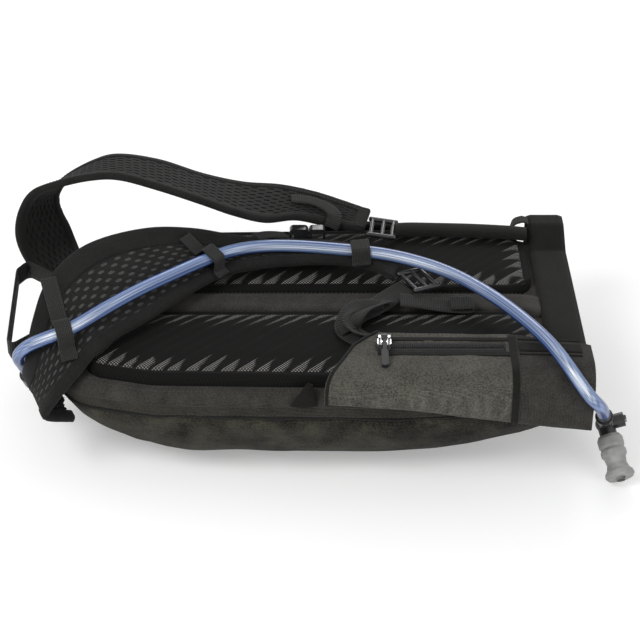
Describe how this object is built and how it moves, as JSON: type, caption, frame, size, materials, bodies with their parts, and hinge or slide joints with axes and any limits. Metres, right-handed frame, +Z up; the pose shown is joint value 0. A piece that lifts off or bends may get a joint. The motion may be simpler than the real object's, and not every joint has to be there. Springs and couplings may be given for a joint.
{
  "type": "hydration pack",
  "caption": "Slim hydration backpack lying on its front, with perforated shoulder straps, mesh back pads, zipped hip wings and a clear drinking tube with a bite valve.",
  "frame": {"origin": "centre of the flat foot on which the pack lies, at the surface under it", "axes": "+X from the pack's top end to its bottom end, +Y to the side away from the drinking tube's valve, +Z up through the back panel"},
  "size_m": [0.4731, 0.2678, 0.1668],
  "materials": {
    "shell_fabric": "woven olive-black pack cloth, coated inside",
    "panel_fabric": "smooth dark knitted cloth over foam",
    "mesh": "black open air mesh over foam",
    "strap_mesh": "perforated black strap mesh with bound edges",
    "webbing": "flat woven black webbing",
    "elastic": "black elastic band",
    "hard_plastic": "black moulded acetal",
    "zip_coil": "black coil zip on tape",
    "zip_metal": "black slider body with bright bridge",
    "pull_rubber": "cord with moulded black end",
    "sheet_plastic": "thin polyethylene frame sheet",
    "lining": "light grey lining cloth",
    "bladder": "clear blue polyurethane film",
    "tube_clear": "clear blue-tinted polyurethane tube",
    "silicone": "grey silicone"
  },
  "bodies": {
    "pack": {"pack_shell": "shell_fabric", "back_panel": "panel_fabric", "near_back_pad": "mesh", "far_back_pad": "mesh", "frame_sheet": "sheet_plastic", "divider_sleeve": "lining", "reservoir": "bladder", "reservoir_slide": "hard_plastic", "reservoir_connector": "hard_plastic", "reservoir_hanger": "webbing", "inner_tube": "tube_clear", "hose_gland": "hard_plastic", "drinking_tube": "tube_clear", "valve_elbow": "hard_plastic", "near_shoulder_strap": "strap_mesh", "far_shoulder_strap": "strap_mesh", "tube_loop_upper": "elastic", "tube_loop_lower": "elastic", "tube_keeper": "elastic", "haul_loop": "webbing", "near_ladder_lock": "hard_plastic", "far_ladder_lock": "hard_plastic", "lumbar_band": "panel_fabric", "near_adjuster_webbing": "webbing", "near_webbing_tail": "webbing", "far_adjuster_webbing": "webbing", "near_wing_root": "panel_fabric", "far_wing_root": "panel_fabric", "top_zip_track": "zip_coil", "sternum_buckle_female": "hard_plastic", "near_sternum_webbing": "webbing", "far_sternum_webbing": "webbing"},
    "near_wing": {"near_wing": "shell_fabric", "near_zip_track": "zip_coil"},
    "near_slider": {"near_zip_slider": "zip_metal"},
    "near_pull": {"near_zip_pull": "pull_rubber"},
    "far_wing": {"far_wing": "shell_fabric", "far_zip_track": "zip_coil"},
    "far_slider": {"far_zip_slider": "zip_metal"},
    "far_pull": {"far_zip_pull": "pull_rubber"},
    "top_slider": {"top_zip_slider": "zip_metal"},
    "top_pull": {"top_zip_pull": "pull_rubber"},
    "valve": {"bite_valve": "silicone"},
    "lever": {"shutoff_lever": "hard_plastic"},
    "buckle_male": {"sternum_buckle_male": "hard_plastic"}
  },
  "joints": [
    {"name": "near_wing_fold", "type": "hinge", "parent": "pack", "child": "near_wing", "pos_m": [0.138, -0.1173, 0.105], "axis": [0, 0.8211, 0.5708], "range_deg": [0, 60]},
    {"name": "near_zip_run", "type": "slide", "parent": "near_wing", "child": "near_slider", "axis": [1, 0, 0], "range_m": [0, 0.08]},
    {"name": "near_pull_swing", "type": "hinge", "parent": "near_slider", "child": "near_pull", "pos_m": [0.046, -0.084, 0.1159], "axis": [-1, 0, 0], "range_deg": [0, 100]},
    {"name": "far_wing_fold", "type": "hinge", "parent": "pack", "child": "far_wing", "pos_m": [0.138, 0.1248, 0.072], "axis": [0, 0, -1], "range_deg": [0, 70]},
    {"name": "far_zip_run", "type": "slide", "parent": "far_wing", "child": "far_slider", "axis": [-0.9994, 0.035, 0], "range_m": [0, 0.077]},
    {"name": "far_pull_swing", "type": "hinge", "parent": "far_slider", "child": "far_pull", "pos_m": [0.11125, 0.13473, 0.072], "axis": [0.9994, -0.035, 0], "range_deg": [-8, 90]},
    {"name": "top_zip_run", "type": "slide", "parent": "pack", "child": "top_slider", "axis": [0, -1, 0], "range_m": [0, 0.064]},
    {"name": "top_pull_swing", "type": "hinge", "parent": "top_slider", "child": "top_pull", "pos_m": [-0.2187, 0.032, 0.063], "axis": [0, 1, 0], "range_deg": [-8, 90]},
    {"name": "bite_valve_twist", "type": "hinge", "parent": "pack", "child": "valve", "pos_m": [0.21429, -0.08419, 0.02789], "axis": [0.2071, -0.7984, -0.5654], "range_deg": [0, 90]},
    {"name": "shutoff_turn", "type": "hinge", "parent": "pack", "child": "lever", "pos_m": [0.21796, -0.07593, 0.03526], "axis": [0.9571, 0.0457, 0.286], "range_deg": [0, 90]},
    {"name": "chest_buckle_release", "type": "slide", "parent": "pack", "child": "buckle_male", "axis": [1, 0, 0], "range_m": [0, 0.008]}
  ]
}
